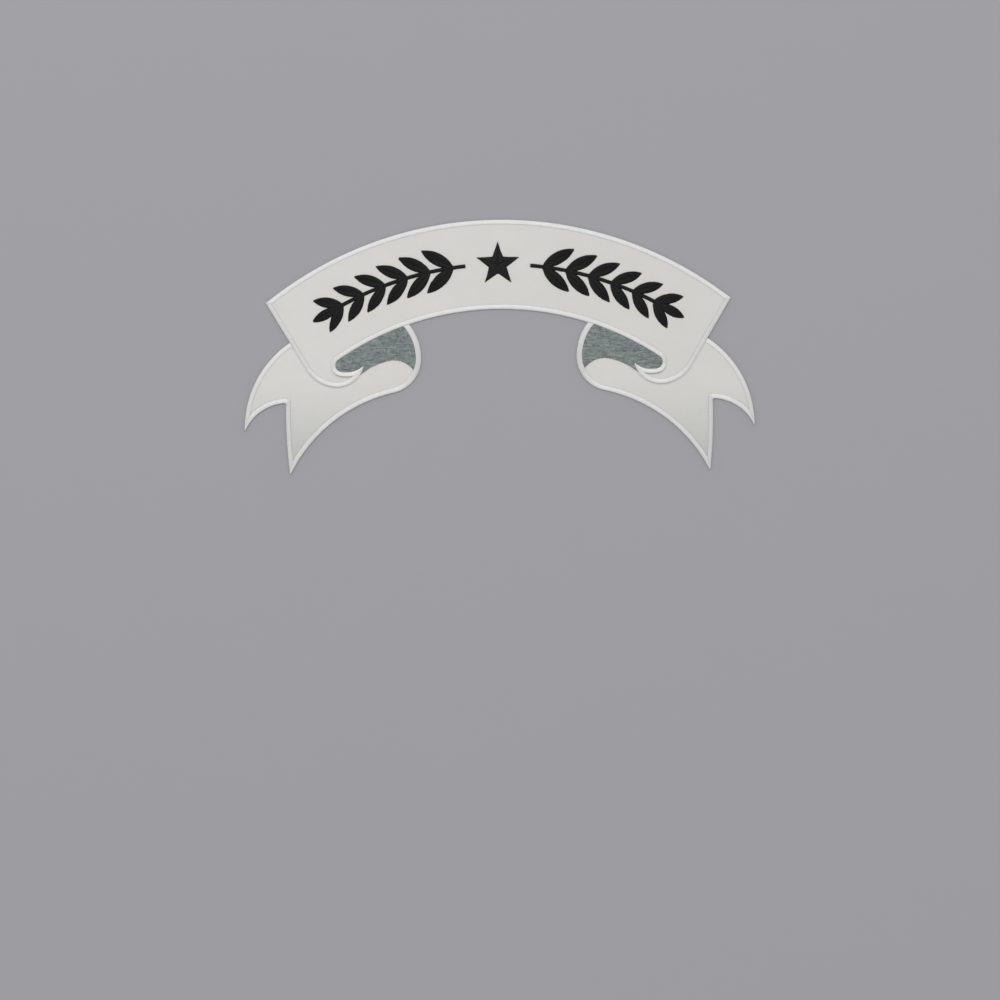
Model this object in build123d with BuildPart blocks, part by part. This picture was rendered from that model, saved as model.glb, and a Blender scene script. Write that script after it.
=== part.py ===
from build123d import *
from math import asin, cos, degrees, radians, sin, tan
import os

# Rocker patch: an arched cloth ribbon whose two ends fold under through a loop and come out as swallow tails.
# It lies face up. +X is right, +Y is up the wearer's back, +Z is out of the face, and the back face is z = 0.
# The origin is the middle of the outline's box. Lengths are in millimetres and angles in degrees.

# Whole patch
patch_width = 355.6  # between the outer points of the two tails
patch_height = 175.8  # from the top of the arch to the lower points of the tails

# Banner
banner_radius = 262.0  # top edge
banner_height = 61.9  # top edge to lower edge, along a radius
banner_width = 324.2  # top corner to top corner
end_slant = 30.6  # cut end, from the vertical

# Fold: the rounded end of the grey reverse, and the curl and hook that go round it
fold_setback = 14.4  # along the lower edge, from the top corner's radius to the fold's end
fold_end_radius = 4.7
fold_length = 55.2  # from the centre of the rounded end to the outermost point of the loop
fold_rise = 4.3  # of the loop's outermost point above the centre of the rounded end
curl_start_drop = 2.0  # where the cut end begins to curl, below the centre of the rounded end
curl_drop = 14.6  # lowest part of the curl, below that centre
curl_offset = 7.6  # lowest part of the curl, outside that centre
hook_length = 14.8  # point of the hook, inside that centre
hook_drop = 0.8  # point of the hook, below that centre
heel_offset = 12.1  # bend of the hook, inside that centre
heel_drop = 7.1  # bend of the hook, below that centre
hook_slope = 11.7  # inner side of the hook where it leaves the rounded end

# Loop and tail
loop_upper_radius = 38.2
loop_upper_sweep = 50.0
loop_lower_radius = 24.0
loop_lower_sweep = 78.0
crest_share = 0.36  # highest part of the turned edge, as a share of the fold's length from the loop
crest_rise = 3.2  # highest part of the turned edge, above the centre of the rounded end
turned_edge_drop = 12.3  # lower end of the turned edge, below the loop's outermost point
turned_edge_bow = 1.7
tail_top_inset = 22.1  # start of the tail's top edge under the banner, from the banner's corner
tail_top_drop = 24.6  # the same point, below the corner
tail_top_bow = 0.14  # share of the top edge's chord
outer_point_drop = 88.6  # outer point of the tail, below the banner's corner
notch_drop = 69.7  # corner of the swallow tail's notch, below the banner's corner
notch_share = 0.837  # of half the patch's width
lower_point_share = 0.824  # of half the patch's width
notch_upper_bow = 4.9
notch_inner_bow = 0.95
notch_round = 0.6

# Cloth and stitching
ground_thickness = 1.2
stitch_gap = 0.05  # between the cloth and what is stitched on it
seam_gap = 0.15  # between two stitched areas side by side
border_width = 2.9
loop_border_width = 3.8
border_height = 1.0
border_round = 0.35
fill_height = 0.5
motif_height = 0.7
motif_round = 0.25

# Star and laurel sprays
star_points = 5
star_radius = 15.5
star_waist = 0.42  # inner corners, as a share of the star's radius
spray_start = 23.0  # along the middle of the banner, from its centre line
stem_length = 98.0
stem_width = 2.4
leaf_pairs = 6
leaf_length = 25.5
leaf_width = 8.4
leaf_angle = 36.0  # from the stem
end_leaf_lap = 4.0  # of the end leaf over the stem
leaf_taper = 0.2  # how much smaller the last leaf is than the first, as a share

# Places worked out from the sizes
half_width = patch_width / 2
arch_centre = Vector(0, patch_height / 2 - banner_radius)
lower_radius = banner_radius - banner_height
middle_radius = banner_radius - banner_height / 2
corner_angle = degrees(asin(banner_width / 2 / banner_radius))
fold_angle = corner_angle - degrees(fold_setback / lower_radius)
stitch_level = ground_thickness + stitch_gap


def on_arch(radius, angle):
    """Point on a circle about the arch's centre, the angle counted from the centre line towards +X."""
    return arch_centre + Vector(radius * sin(radians(angle)), radius * cos(radians(angle)))


def along_middle(length):
    """Angle on the arch of a length along the middle of the banner."""
    return degrees(length / middle_radius)


corner = on_arch(banner_radius, corner_angle)
fold_end = on_arch(lower_radius - fold_end_radius, fold_angle)
curl_start_y = fold_end.Y - curl_start_drop
curl_start = Vector(corner.X - (corner.Y - curl_start_y) * tan(radians(end_slant)), curl_start_y)
curl_low = fold_end + Vector(curl_offset, -curl_drop)
hook_heel = fold_end + Vector(-heel_offset, -heel_drop)
hook_point = fold_end + Vector(-hook_length, -hook_drop)

loop_side = fold_end + Vector(-fold_length, fold_rise)
loop_upper_centre = loop_side + Vector(loop_upper_radius, 0)
loop_lower_centre = loop_side + Vector(loop_lower_radius, 0)
tail_top = corner + Vector(-tail_top_inset, -tail_top_drop)
outer_point = Vector(half_width, corner.Y - outer_point_drop)
notch = Vector(notch_share * half_width, corner.Y - notch_drop)
lower_point = Vector(lower_point_share * half_width, -patch_height / 2)

crest = Vector(loop_side.X + crest_share * fold_length, fold_end.Y + crest_rise)
turned_edge_end = loop_side + Vector(border_width, -turned_edge_drop)


def banner_sketch():
    """Outline of the banner, with the curl and the hook at each end."""
    with BuildSketch() as sketch:
        with BuildLine():
            ThreePointArc(on_arch(banner_radius, 0), on_arch(banner_radius, corner_angle / 2), corner)
            cut_end = Line(corner, curl_start)
            curl = TangentArc(curl_start, curl_low, tangent=cut_end % 1)
            under = TangentArc(curl_low, hook_heel, tangent=curl % 1)
            TangentArc(hook_heel, hook_point, tangent=under % 1)
            fold = CenterArc(fold_end, fold_end_radius, hook_slope - 90, 180 - fold_angle - hook_slope)
            TangentArc(fold @ 0, hook_point, tangent=-(fold % 0))
            ThreePointArc(fold @ 1, on_arch(lower_radius, fold_angle / 2), on_arch(lower_radius, 0))
            mirror(about=Plane.YZ)
        make_face()
    return sketch.sketch


def tail_sketch():
    """Outline of the right loop and swallow tail, closed under the banner."""
    with BuildSketch() as sketch:
        with BuildLine():
            upper = CenterArc(loop_upper_centre, loop_upper_radius, 180, -loop_upper_sweep)
            lower = CenterArc(loop_lower_centre, loop_lower_radius, 180, loop_lower_sweep)
            TangentArc(lower @ 1, lower_point, tangent=lower % 1)
            SagittaArc(lower_point, notch, -notch_inner_bow)
            SagittaArc(notch, outer_point, notch_upper_bow)
            SagittaArc(outer_point, tail_top, -tail_top_bow * (outer_point - tail_top).length)
            Line(tail_top, upper @ 1)
        make_face()
        fillet(sketch.vertices().sort_by_distance(notch)[0], notch_round)
    return sketch.sketch


def loop_band_sketch(clearance):
    """Broader border of the right loop, with a clearance inside it, narrowing towards the tail's lower edge."""
    inner_side = loop_side + Vector(loop_border_width + clearance, 0)
    with BuildSketch() as sketch:
        with BuildLine():
            upper = CenterArc(loop_upper_centre, loop_upper_radius, 180, -loop_upper_sweep)
            lower = CenterArc(loop_lower_centre, loop_lower_radius, 180, loop_lower_sweep)
            inner_upper = CenterArc(
                loop_upper_centre, (loop_upper_centre - inner_side).length, 180, -loop_upper_sweep)
            inward = (lower % 1).rotate(Axis.Z, 90)
            narrow = Line(lower @ 1, lower @ 1 + (border_width + clearance) * inward)
            TangentArc(inner_side, narrow @ 1, tangent=(0, -1))
            Line(upper @ 1, inner_upper @ 1)
        make_face()
    return sketch.sketch


def reverse_window():
    """Area above the ribbon's turned edge, closed inside the banner round the fold's end."""
    cover = 2 * fold_end_radius
    loop_angle = degrees(asin(loop_side.X / (lower_radius + fold_end_radius)))
    with BuildSketch() as sketch:
        with BuildLine():
            TangentArc(crest, turned_edge_end, tangent=(-1, 0))
            SagittaArc(crest, hook_heel, turned_edge_bow)
            Line(hook_heel, fold_end + Vector(0, -cover))
            CenterArc(fold_end, cover, -90, 180 - fold_angle)
            ThreePointArc(
                on_arch(lower_radius + fold_end_radius, fold_angle),
                on_arch(lower_radius + fold_end_radius, (fold_angle + loop_angle) / 2),
                on_arch(lower_radius + fold_end_radius, loop_angle),
            )
            Polyline(
                on_arch(lower_radius + fold_end_radius, loop_angle),
                (loop_side.X, turned_edge_end.Y),
                turned_edge_end,
            )
        make_face()
    return sketch.sketch


def edge_band(area, width):
    """Band of a width that runs round an area, just inside its outline."""
    with BuildSketch() as sketch:
        trace(area.edges(), 2 * width)
        add(area, mode=Mode.INTERSECT)
    return sketch.sketch


def inset(area, width):
    """The area taken in by a width all round."""
    return offset(area, amount=-width, kind=Kind.INTERSECTION, mode=Mode.PRIVATE)


def grown(area, width):
    """The area let out by a width all round."""
    return offset(area, amount=width, mode=Mode.PRIVATE)


def star_outline():
    """Corners of a star with one point up, outer and inner corners in turn."""
    corners = []
    for index in range(2 * star_points):
        radius = star_radius * (star_waist if index % 2 else 1)
        turn = radians(180 * index / star_points)
        corners.append((radius * sin(turn), radius * cos(turn)))
    return corners


def stem_sketch():
    """Band along the middle of the banner that a spray's leaves grow from."""
    first, last = along_middle(spray_start), along_middle(spray_start + stem_length)
    with BuildSketch() as sketch:
        with BuildLine():
            edges = [
                ThreePointArc(*(on_arch(middle_radius + side * stem_width / 2, angle)
                                for angle in (first, (first + last) / 2, last)))
                for side in (1, -1)
            ]
            Line(edges[0] @ 0, edges[1] @ 0)
            Line(edges[0] @ 1, edges[1] @ 1)
        make_face()
    return sketch.sketch


def leaf_places():
    """Place, direction and scale of each leaf of the right spray, in pairs from the star outwards."""
    places = []
    for pair in range(leaf_pairs):
        angle = along_middle(spray_start + stem_length * (pair + 0.5) / leaf_pairs)
        scale = 1 - leaf_taper * pair / leaf_pairs
        for side in (1, -1):
            places.append((Location(on_arch(middle_radius, angle), (0, 0, side * leaf_angle - angle)), scale))
    tip = along_middle(spray_start + stem_length - end_leaf_lap)
    places.append((Location(on_arch(middle_radius, tip), (0, 0, -tip)), 1 - leaf_taper))
    return places


def leaf_sketch(length, width):
    """Pointed leaf along +X from the origin: two arcs that meet at both points."""
    with BuildSketch() as sketch:
        with BuildLine():
            SagittaArc((0, 0), (length, 0), width / 2)
            mirror(about=Plane.XZ)
        make_face()
    return sketch.sketch


banner = banner_sketch()
banner_clear = grown(banner, seam_gap)
tail = tail_sketch()
reverse = reverse_window()


def finish(piece, name):
    """Label one piece and write its STEP file."""
    piece.part.label = name
    export_step(piece.part, f"parts/{name}.step")


os.makedirs("parts", exist_ok=True)

# Cloth of the whole patch
with BuildPart() as ground:
    with BuildSketch():
        add(banner)
        add(tail)
        mirror(tail, about=Plane.YZ)
    extrude(amount=ground_thickness)
finish(ground, "twill_ground")

# Satin border of the banner, curls and hooks
with BuildPart() as banner_border:
    with BuildSketch(Plane.XY.offset(stitch_level)):
        add(edge_band(banner, border_width))
    extrude(amount=border_height)
    chamfer(banner_border.faces().sort_by(Axis.Z)[-1].edges(), border_round)
finish(banner_border, "banner_border")

# Satin border of each loop and tail, and the grey fill of each fold
for side, mirrored in (("right", False), ("left", True)):
    with BuildPart() as tail_border:
        with BuildSketch(Plane.XY.offset(stitch_level)):
            add(tail)
            add(inset(tail, border_width), mode=Mode.SUBTRACT)
            add(loop_band_sketch(0))
            add(banner_clear, mode=Mode.SUBTRACT)
        extrude(amount=border_height)
        chamfer(tail_border.faces().sort_by(Axis.Z)[-1].edges(), border_round)
        if mirrored:
            mirror(about=Plane.YZ, mode=Mode.REPLACE)
    finish(tail_border, f"tail_border_{side}")
    with BuildPart() as fold_fill:
        with BuildSketch(Plane.XY.offset(stitch_level)):
            add(tail)
            add(edge_band(tail, border_width + seam_gap), mode=Mode.SUBTRACT)
            add(loop_band_sketch(seam_gap), mode=Mode.SUBTRACT)
            add(reverse, mode=Mode.INTERSECT)
            add(banner_clear, mode=Mode.SUBTRACT)
        extrude(amount=fill_height)
        if mirrored:
            mirror(about=Plane.YZ, mode=Mode.REPLACE)
    finish(fold_fill, f"fold_fill_{side}")

# Star in the middle of the banner
with BuildPart() as star:
    with BuildSketch(Plane.XY.offset(stitch_level)):
        with Locations(on_arch(middle_radius, 0)):
            Polygon(*star_outline(), align=None)
    extrude(amount=motif_height)
    chamfer(star.faces().sort_by(Axis.Z)[-1].edges(), motif_round)
finish(star, "centre_star")

# Laurel spray along each half of the banner: a stem, pairs of leaves and one leaf at its end
for side, mirrored in (("right", False), ("left", True)):
    with BuildPart() as laurel:
        with BuildSketch(Plane.XY.offset(stitch_level)):
            add(stem_sketch())
            for place, scale in leaf_places():
                with Locations(place):
                    add(leaf_sketch(scale * leaf_length, scale * leaf_width))
        extrude(amount=motif_height)
        if mirrored:
            mirror(about=Plane.YZ, mode=Mode.REPLACE)
    finish(laurel, f"laurel_{side}")
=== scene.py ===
"""Dresses the solids of a rocker patch with twill, satin borders, filled folds, laurel sprays and a star.

Lengths are in metres in the solids' frame: +X right, +Y to the top of the arch, +Z out of the stitched face.
A point of the flat patch is a complex number, x + iy: a product turns it and an absolute value measures it.
"""

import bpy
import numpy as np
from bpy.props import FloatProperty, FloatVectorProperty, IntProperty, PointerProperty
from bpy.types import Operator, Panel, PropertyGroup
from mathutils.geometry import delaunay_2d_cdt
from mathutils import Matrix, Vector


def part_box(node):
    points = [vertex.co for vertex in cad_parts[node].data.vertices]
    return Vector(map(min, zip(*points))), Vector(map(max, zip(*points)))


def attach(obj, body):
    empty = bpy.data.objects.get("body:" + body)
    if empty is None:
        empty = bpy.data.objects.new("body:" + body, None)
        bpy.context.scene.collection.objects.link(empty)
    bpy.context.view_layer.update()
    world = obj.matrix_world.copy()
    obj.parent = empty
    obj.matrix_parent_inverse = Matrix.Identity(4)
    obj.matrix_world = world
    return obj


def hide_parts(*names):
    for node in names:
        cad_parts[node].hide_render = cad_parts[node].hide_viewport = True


bl_info = {
    "name": "Rocker Patch",
    "version": (1, 0, 0),
    "blender": (4, 5, 0),
    "location": "3D View > Sidebar > Patch",
    "description": "Cuts the twill and lays the threads of an embroidered rocker patch",
    "category": "Add Mesh",
}

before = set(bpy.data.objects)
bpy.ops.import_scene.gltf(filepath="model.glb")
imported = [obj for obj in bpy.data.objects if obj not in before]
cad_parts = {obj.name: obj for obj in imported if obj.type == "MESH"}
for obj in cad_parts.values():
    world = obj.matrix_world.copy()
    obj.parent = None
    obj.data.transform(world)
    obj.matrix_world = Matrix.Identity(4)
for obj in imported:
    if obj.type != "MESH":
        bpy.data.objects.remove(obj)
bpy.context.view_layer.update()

MM = 0.001

# Outline of the solids, which the cloth and the borders follow
PATCH_WIDTH = 355.6 * MM
PATCH_HEIGHT = 175.8 * MM
BANNER_RADIUS = 262.0 * MM
BANNER_HEIGHT = 61.9 * MM
BANNER_WIDTH = 324.2 * MM
END_SLANT = np.radians(30.6)
FOLD_SETBACK = 14.4 * MM
FOLD_END_RADIUS = 4.7 * MM
FOLD_LENGTH = 55.2 * MM
FOLD_RISE = 4.3 * MM
CURL_START_DROP = 2.0 * MM
CURL_LOW = (7.6 - 14.6j) * MM
HOOK_HEEL = (-12.1 - 7.1j) * MM
HOOK_POINT = (-14.8 - 0.8j) * MM
HOOK_SLOPE = np.radians(11.7)
LOOP_UPPER_RADIUS = 38.2 * MM
LOOP_UPPER_SWEEP = np.radians(50.0)
LOOP_LOWER_RADIUS = 24.0 * MM
LOOP_LOWER_SWEEP = np.radians(78.0)
TAIL_TOP = (-22.1 - 24.6j) * MM
TAIL_TOP_BOW = 0.14
OUTER_POINT_DROP = 88.6 * MM
NOTCH_DROP = 69.7 * MM
NOTCH_SHARE = 0.837
LOWER_POINT_SHARE = 0.824
NOTCH_UPPER_BOW = 4.9 * MM
NOTCH_INNER_BOW = 0.95 * MM
NOTCH_ROUND = 0.6 * MM
BORDER_WIDTH = 2.9 * MM
LOOP_BORDER_WIDTH = 3.8 * MM
SEAM_GAP = 0.15 * MM

# Star and laurel sprays
STAR_POINTS = 5
STAR_RADIUS = 15.5 * MM
STAR_WAIST = 0.42
SPRAY_START = 23.0 * MM
STEM_LENGTH = 98.0 * MM
STEM_WIDTH = 2.4 * MM
LEAF_PAIRS = 6
LEAF_LENGTH = 25.5 * MM
LEAF_WIDTH = 8.4 * MM
LEAF_ANGLE = np.radians(36.0)
END_LEAF_LAP = 4.0 * MM
LEAF_TAPER = 0.2

# Fineness of the outlines and the cloth
OUTLINE_STEP = 0.2 * MM
FEWEST_POINTS = 8  # on an arc
COARSE_STEP = 3  # of an outline, every third point, where it is only measured from
TAIL_STEP = 2  # of a tail, every second point, where the cloth is cut
CUT_STEP = 4  # and then every fourth, there and on the banner
LINE_STEP = 5  # of a line of cloth points beside a seam, every fifth
BESIDE_SEAM = 0.3, 1.0, 2.0  # where those lines run, in widths of the seam's dip
CLEAR_OF_SEAM = 2.4  # where the cloth's even points begin, in the same
AT_ONCE = 4000  # points measured at a time
TEST_STEPS = 24  # places at which a stitch is tested
SAME_LEVEL = 0.01 * MM
SAME_PLACE = 0.0001 * MM
INSIDE_ONLY = 1  # the triangulation keeps what lies inside its outlines
ALONG_THE_RIM = np.sin(np.radians(3.0))
SHARP_EDGE = np.radians(50.0)

# What presses and pulls the cloth
HELD_DOWN_BY = "fold_fill_right", "fold_fill_left", "laurel_right", "laurel_left", "centre_star"
HOOK_RUNS = 1, 2, 13, 14  # the banner's runs round the folds' ends and in front of the hooks
WAVE_SPREAD = 0.35, 1.6  # least and greatest length of a broad wave, times the usual one
TUCK_WANDER = 2.0  # how far the tucks' phase wanders, in radians
TUCK_DRIFT = 2.3  # tucks to a radian of that wandering

# How the stitches lie
NARROW_CROWN = 0.55  # crown of the shortest stitches of a border or the star, as a share of the longest
LEAF_CROWN = 0.5  # the same at a leaf's ends
VEIN_LEVEL = 0.5  # height at which a leaf's or the star's stitches start, as a share of their crown
STEM_CROWN = 1.15  # crown of the stem, as a share of the leaves'
HOLE_STRAY = 0.3  # how far a needle hole in a row strays, as a share of a stitch
FILL_DIP = 0.25 * MM  # depth of a row of the fill at its needle holes
UNDERLAY_PITCH = 0.6 * MM
UNDERLAY_STITCH = 7.0 * MM
UNDERLAY_STAGGER = 0.5
UNDERLAY_RISE = 0.15 * MM
UNDERLAY_WIDTH = 1.7  # of its threads, as a share of a flat thread's

# Tone of a stitch, from 0 to 1: painted sheen and shade in the thread's colour, set by its heading, its lit
# side and its length
PAINTED_SHEEN_ALONG_X = 0.125
PAINTED_SHEEN_ALONG_Y = 0.765
PAINTED_LIT_SIDE = 0.9  # painted highlight: four times the most that a start on the lit side adds
TONE_STRAY = 0.06
PAINTED_SHADE_FROM = 1.1  # stitches longer than this, in a border's widths, get painted shade and are painted darkest where they are longer by this
PAINTED_SHADE_MOST = 0.25  # and are dullest where they are longer by this

# Sides of the patch, in the order in which they are stitched
SIDES = "right", "left"

# First seed of each group's chances
BANNER_SEED = 21
TAIL_SEED = 31
FILL_SEED = 41
LAUREL_SEED = 51
STAR_SEED = 61


# Plane geometry

ARCH_CENTRE = 1j * (PATCH_HEIGHT / 2 - BANNER_RADIUS)
LOWER_RADIUS = BANNER_RADIUS - BANNER_HEIGHT
MIDDLE_RADIUS = BANNER_RADIUS - BANNER_HEIGHT / 2
CORNER_ANGLE = np.arcsin(BANNER_WIDTH / 2 / BANNER_RADIUS)
FOLD_ANGLE = CORNER_ANGLE - FOLD_SETBACK / LOWER_RADIUS


def on_arch(radius, angle):
    """Points of a circle round the arch's centre: that centre plus the radius, turned from +Y towards +X."""
    return ARCH_CENTRE + 1j * radius * np.exp(-1j * angle)


def unit(direction):
    """The direction over its length."""
    return direction / np.abs(direction)


def on_side(side, *points):
    """Points or headings of the right side as they are, or mirrored for the left: x turns to -x."""
    return points if side == "right" else tuple(-point.conj() for point in points)


def arc(start, end, half_turn=0.0):
    """Arc that turns left by twice half_turn: the chord times sin(s half_turn) / sin(half_turn), s from 0 to
    1, turned back by (1 - s) half_turn. Without a turn it is the chord times s."""
    length = abs(end - start) / np.sinc(half_turn / np.pi)
    share = np.linspace(0, 1, max(FEWEST_POINTS, int(length / OUTLINE_STEP)))
    if half_turn == 0:
        return start + (end - start) * share
    swing = np.sin(half_turn * share) / np.sin(half_turn) * np.exp(1j * half_turn * (share - 1))
    return start + (end - start) * swing


def arc_on_from(start, end, heading):
    """Arc from start to end that leaves along a heading: half its turn is the angle from it to the chord."""
    return arc(start, end, np.angle((end - start) / heading))


def bowed(start, end, bow):
    """Arc whose middle stands off its chord by bow, to the left if bow is positive: it turns right by four
    times the angle whose tangent is bow over half the chord."""
    return arc(start, end, -2 * np.arctan(2 * bow / abs(end - start)))


def round_a_centre(centre, radius, first, sweep):
    """Arc of a circle: its ends are the centre plus the radius turned by first and by first plus sweep."""
    ends = centre + radius * np.exp(1j * np.array([first, first + sweep]))
    return arc(*ends, sweep / 2)


def heading_out(run):
    """Direction in which a run of points ends."""
    return unit(run[-1] - run[-2])


def short_of(corner, length, run):
    """A run towards a corner, ended at just a length from it: the part further off, and the corner plus that
    length along the direction back to the run."""
    kept = run[np.abs(run - corner) > length]
    return np.append(kept, corner + length * unit(kept[-1] - corner))


def banner_runs():
    """Smooth runs of the banner's outline, anticlockwise from the middle of its lower edge."""
    corner = on_arch(BANNER_RADIUS, CORNER_ANGLE)
    fold_end = on_arch(LOWER_RADIUS - FOLD_END_RADIUS, FOLD_ANGLE)
    curl_drop = corner.imag - (fold_end.imag - CURL_START_DROP)
    top = arc(on_arch(BANNER_RADIUS, 0), corner, -CORNER_ANGLE / 2)
    cut_end = arc(corner, corner - curl_drop * (np.tan(END_SLANT) + 1j))
    curl = arc_on_from(cut_end[-1], fold_end + CURL_LOW, heading_out(cut_end))
    under = arc_on_from(curl[-1], fold_end + HOOK_HEEL, heading_out(curl))
    hook_back = arc_on_from(under[-1], fold_end + HOOK_POINT, heading_out(under))
    fold = round_a_centre(fold_end, FOLD_END_RADIUS, HOOK_SLOPE - np.pi / 2, np.pi - FOLD_ANGLE - HOOK_SLOPE)
    hook_front = arc_on_from(fold[0], hook_back[-1], heading_out(fold[1::-1]))[::-1]
    lower = arc(fold[-1], on_arch(LOWER_RADIUS, 0), FOLD_ANGLE / 2)
    half = [top, cut_end, curl, under, hook_back, hook_front, fold, lower]
    return [run[::-1] for run in reversed(half)] + [-run.conj() for run in half]


def tail_runs():
    """Smooth runs of the right loop's and tail's outline, anticlockwise from the top of the loop."""
    corner = on_arch(BANNER_RADIUS, CORNER_ANGLE)
    fold_end = on_arch(LOWER_RADIUS - FOLD_END_RADIUS, FOLD_ANGLE)
    loop_side = fold_end - FOLD_LENGTH + 1j * FOLD_RISE
    outer_point = PATCH_WIDTH / 2 + 1j * (corner.imag - OUTER_POINT_DROP)
    notch = NOTCH_SHARE * PATCH_WIDTH / 2 + 1j * (corner.imag - NOTCH_DROP)
    lower_point = LOWER_POINT_SHARE * PATCH_WIDTH / 2 - 1j * PATCH_HEIGHT / 2
    tail_top = corner + TAIL_TOP
    upper = round_a_centre(
        loop_side + LOOP_UPPER_RADIUS, LOOP_UPPER_RADIUS, np.pi - LOOP_UPPER_SWEEP, LOOP_UPPER_SWEEP)
    lower = round_a_centre(loop_side + LOOP_LOWER_RADIUS, LOOP_LOWER_RADIUS, np.pi, LOOP_LOWER_SWEEP)
    sweep = arc_on_from(lower[-1], lower_point, heading_out(lower))
    inner = bowed(lower_point, notch, -NOTCH_INNER_BOW)
    outer = bowed(notch, outer_point, NOTCH_UPPER_BOW)
    inner = short_of(notch, NOTCH_ROUND, inner)
    outer = short_of(notch, NOTCH_ROUND, outer[::-1])[::-1]
    corner_round = arc_on_from(inner[-1], outer[0], heading_out(inner))
    top = bowed(outer_point, tail_top, -TAIL_TOP_BOW * abs(outer_point - tail_top))
    behind = arc(tail_top, upper[0])
    return [upper, lower, sweep, inner, corner_round, outer, top, behind]


def joined(runs):
    """All the points of some runs, end to end."""
    return np.concatenate(runs)


def grown(runs, width):
    """The runs' points moved outwards by a width, along the outline's right-hand side."""
    return joined([run + width * -inward_of(run) for run in runs])


def inward_of(run):
    """Direction into the area at each point of an anticlockwise run: its heading turned left."""
    return 1j * unit(np.gradient(run, edge_order=2))


def within(points, outline):
    """True for points inside an outline: a ray to +X crosses it an odd number of times."""
    ends = np.roll(outline, -1)
    rise = ends.imag - outline.imag
    slope = (ends.real - outline.real) / np.where(rise == 0, 1, rise)
    inside = []
    for some in np.array_split(points.ravel(), points.size // AT_ONCE + 1):
        y = some.imag[:, None]
        crossing = (outline.imag > y) != (ends.imag > y)
        beyond = outline.real + slope * (y - outline.imag) > some.real[:, None]
        inside.append((crossing & beyond).sum(1) % 2 == 1)
    return np.concatenate(inside).reshape(points.shape)


def nearest(points, others):
    """Distance from each point to the nearest of the others, and which one that is."""
    found, which = [], []
    for some in np.array_split(points, points.size // AT_ONCE + 1):
        gaps = np.abs(some[:, None] - others)
        which.append(gaps.argmin(1))
        found.append(gaps[np.arange(some.size), which[-1]])
    return np.concatenate(found), np.concatenate(which)


def reach(points, inward, outline):
    """How deep a circle that touches the outline at a point can grow before it touches it elsewhere: the
    least of |q - p| squared over twice the part of q - p that points inward, over the outline's points q.
    Points that lie along the outline itself, less than 3 degrees inward, don't count."""
    chord = outline - points[:, None]
    ahead = (chord * inward.conj()[:, None]).real
    counted = ahead > ALONG_THE_RIM * np.abs(chord)
    return np.where(counted, np.abs(chord) ** 2 / (2 * np.where(counted, ahead, 1)), np.inf).min(1)


def spaced(rim, inward, width, pitch):
    """Stations at an even pitch along a border. A step is as long as the border's longer side there: the rim,
    or the line that runs its width inside. A sharp corner, where the rim stands still, has no length."""
    along = np.abs(np.diff(rim))
    step = np.where(along > 0, np.maximum(along, np.abs(np.diff(rim + inward * width))), 0)
    length = np.concatenate([[0], np.cumsum(step)])
    stops = np.linspace(0, length[-1], int(length[-1] / pitch), endpoint=False) + pitch / 3
    direction = np.interp(stops, length, inward.real) + 1j * np.interp(stops, length, inward.imag)
    return np.interp(stops, length, rim), unit(direction), np.interp(stops, length, width)


# Threads

def painted_sheen_of(chord):
    """Tone of a stitch, which paints satin's sheen and shade into the thread's colour: from its value along X
    to its value along Y by the square of the sine of the heading, plus the lit side's constant times f (1 -
    f), f the part of the heading that points to -Y, since the light comes from +Y, less half of what it is
    longer than a taut stitch, up to a limit, as painted shade on long stitches."""
    heading, length = unit(chord).imag, np.abs(chord) / BORDER_WIDTH
    down = np.maximum(-heading, 0)
    satin = PAINTED_SHEEN_ALONG_X + (PAINTED_SHEEN_ALONG_Y - PAINTED_SHEEN_ALONG_X) * heading ** 2
    return satin + PAINTED_LIT_SIDE * down * (1 - down) - np.clip(length - PAINTED_SHADE_FROM, 0, PAINTED_SHADE_MOST) / 2


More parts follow.
